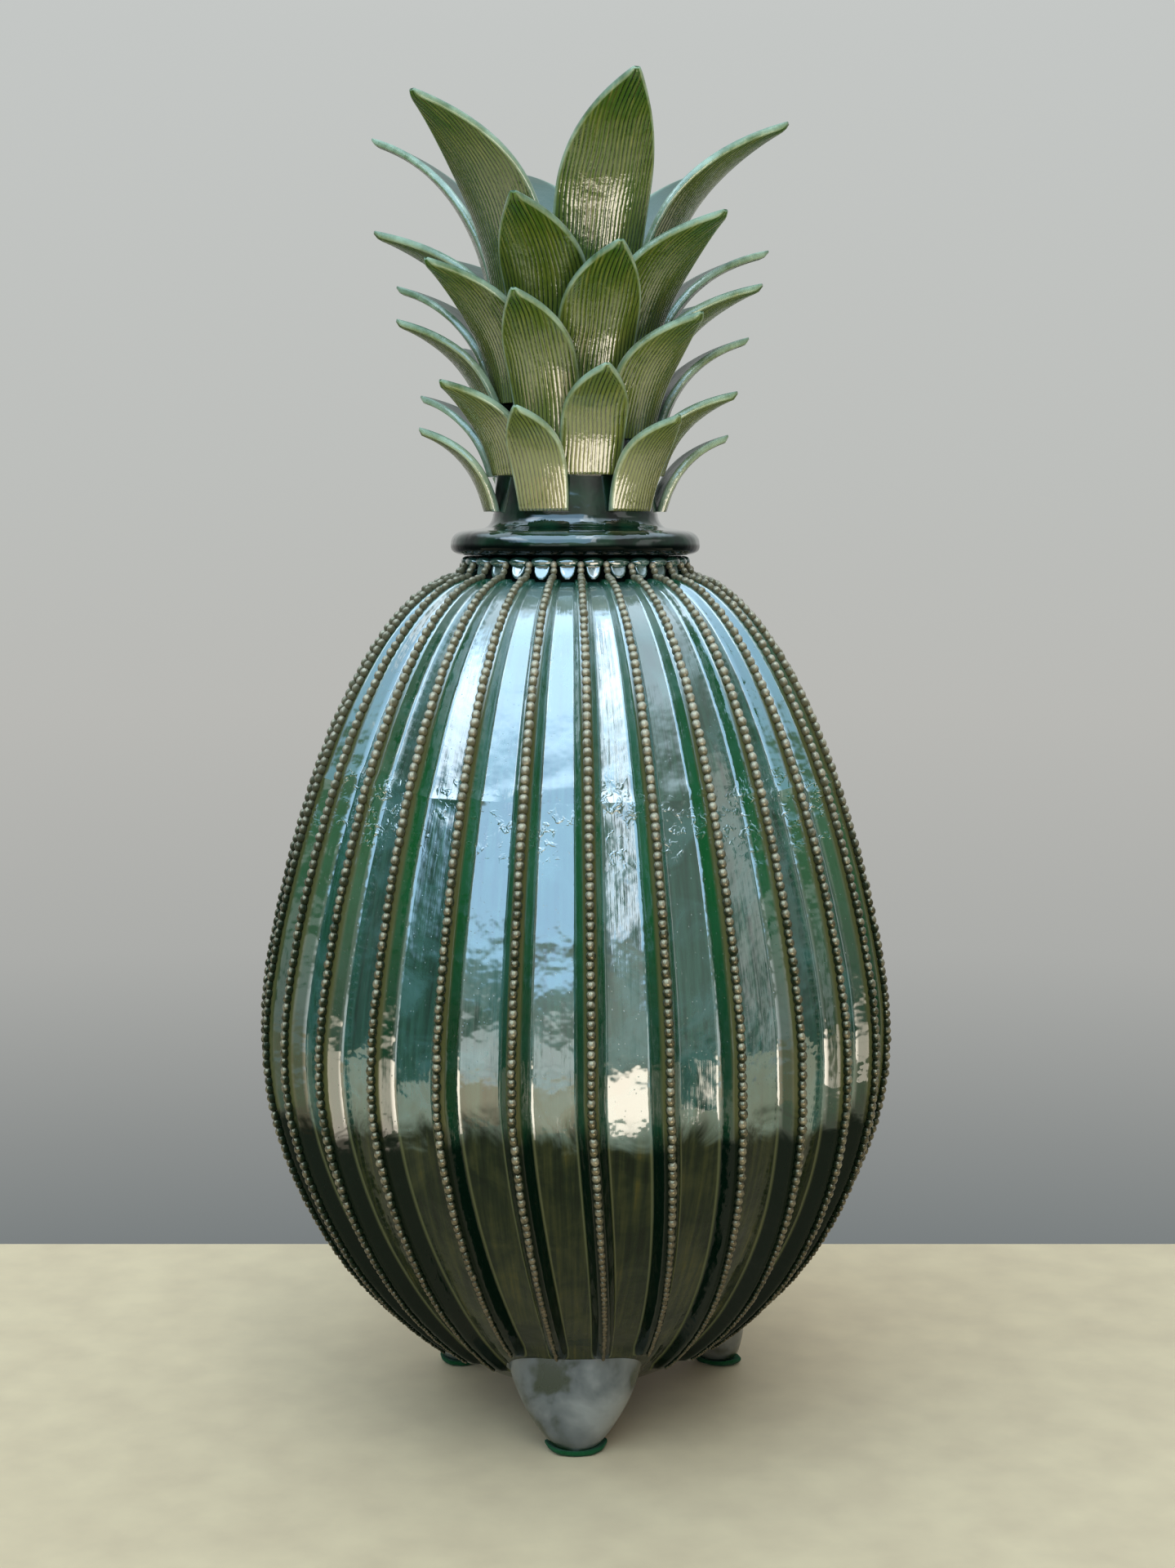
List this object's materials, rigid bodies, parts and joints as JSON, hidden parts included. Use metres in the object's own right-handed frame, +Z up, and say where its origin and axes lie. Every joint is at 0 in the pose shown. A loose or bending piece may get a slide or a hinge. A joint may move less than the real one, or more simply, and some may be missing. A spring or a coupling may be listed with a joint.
{
  "type": "pineapple jar",
  "caption": "Lidded earthenware jar in the form of a pineapple, with a fluted beaded body on padded feet and a lift-off lid that carries a crown of leaves.",
  "frame": {"origin": "on the table, under the axis of the jar", "axes": "+Z up the axis of the jar, -Y toward the front, where the front foot is, +X to the right of the front"},
  "size_m": [0.3166, 0.3166, 0.6354],
  "materials": {
    "body_glaze": "deep green transparent lead-type glaze, glossy, pooled darker in the hollows",
    "bead_clay": "taupe clay beads under a thin clear glaze",
    "lid_glaze": "very dark green glaze, glossy",
    "leaf_glaze": "olive green glaze over fine incised veins, pale edges",
    "foot_glaze": "dark green glaze with a grey sheen",
    "felt": "green wool felt"
  },
  "bodies": {
    "jar": {"body_lower_shell": "body_glaze", "body_upper_shell": "body_glaze", "neck_collar": "body_glaze", "collar_scallops": "body_glaze", "bead_strings": "bead_clay", "foot_front": "foot_glaze", "foot_right": "foot_glaze", "foot_left": "foot_glaze", "felt_pad_front": "felt", "felt_pad_right": "felt", "felt_pad_left": "felt"},
    "lid": {"lid_dish": "lid_glaze", "lid_spigot": "lid_glaze", "crown_stem": "lid_glaze", "leaf_1_1": "leaf_glaze", "leaf_1_2": "leaf_glaze", "leaf_1_3": "leaf_glaze", "leaf_1_4": "leaf_glaze", "leaf_1_5": "leaf_glaze", "leaf_1_6": "leaf_glaze", "leaf_2_1": "leaf_glaze", "leaf_2_2": "leaf_glaze", "leaf_2_3": "leaf_glaze", "leaf_2_4": "leaf_glaze", "leaf_2_5": "leaf_glaze", "leaf_2_6": "leaf_glaze", "leaf_3_1": "leaf_glaze", "leaf_3_2": "leaf_glaze", "leaf_3_3": "leaf_glaze", "leaf_3_4": "leaf_glaze", "leaf_3_5": "leaf_glaze", "leaf_3_6": "leaf_glaze", "leaf_4_1": "leaf_glaze", "leaf_4_2": "leaf_glaze", "leaf_4_3": "leaf_glaze", "leaf_4_4": "leaf_glaze", "leaf_4_5": "leaf_glaze", "leaf_4_6": "leaf_glaze", "leaf_5_1": "leaf_glaze", "leaf_5_2": "leaf_glaze", "leaf_5_3": "leaf_glaze", "leaf_5_4": "leaf_glaze", "leaf_5_5": "leaf_glaze", "leaf_5_6": "leaf_glaze", "leaf_6_1": "leaf_glaze", "leaf_6_2": "leaf_glaze", "leaf_6_3": "leaf_glaze", "leaf_6_4": "leaf_glaze", "leaf_6_5": "leaf_glaze", "leaf_6_6": "leaf_glaze"}
  },
  "joints": [
    {"name": "lid_lift", "type": "slide", "parent": "jar", "child": "lid", "axis": [0, 0, 1], "range_m": [0, 0.15]}
  ]
}
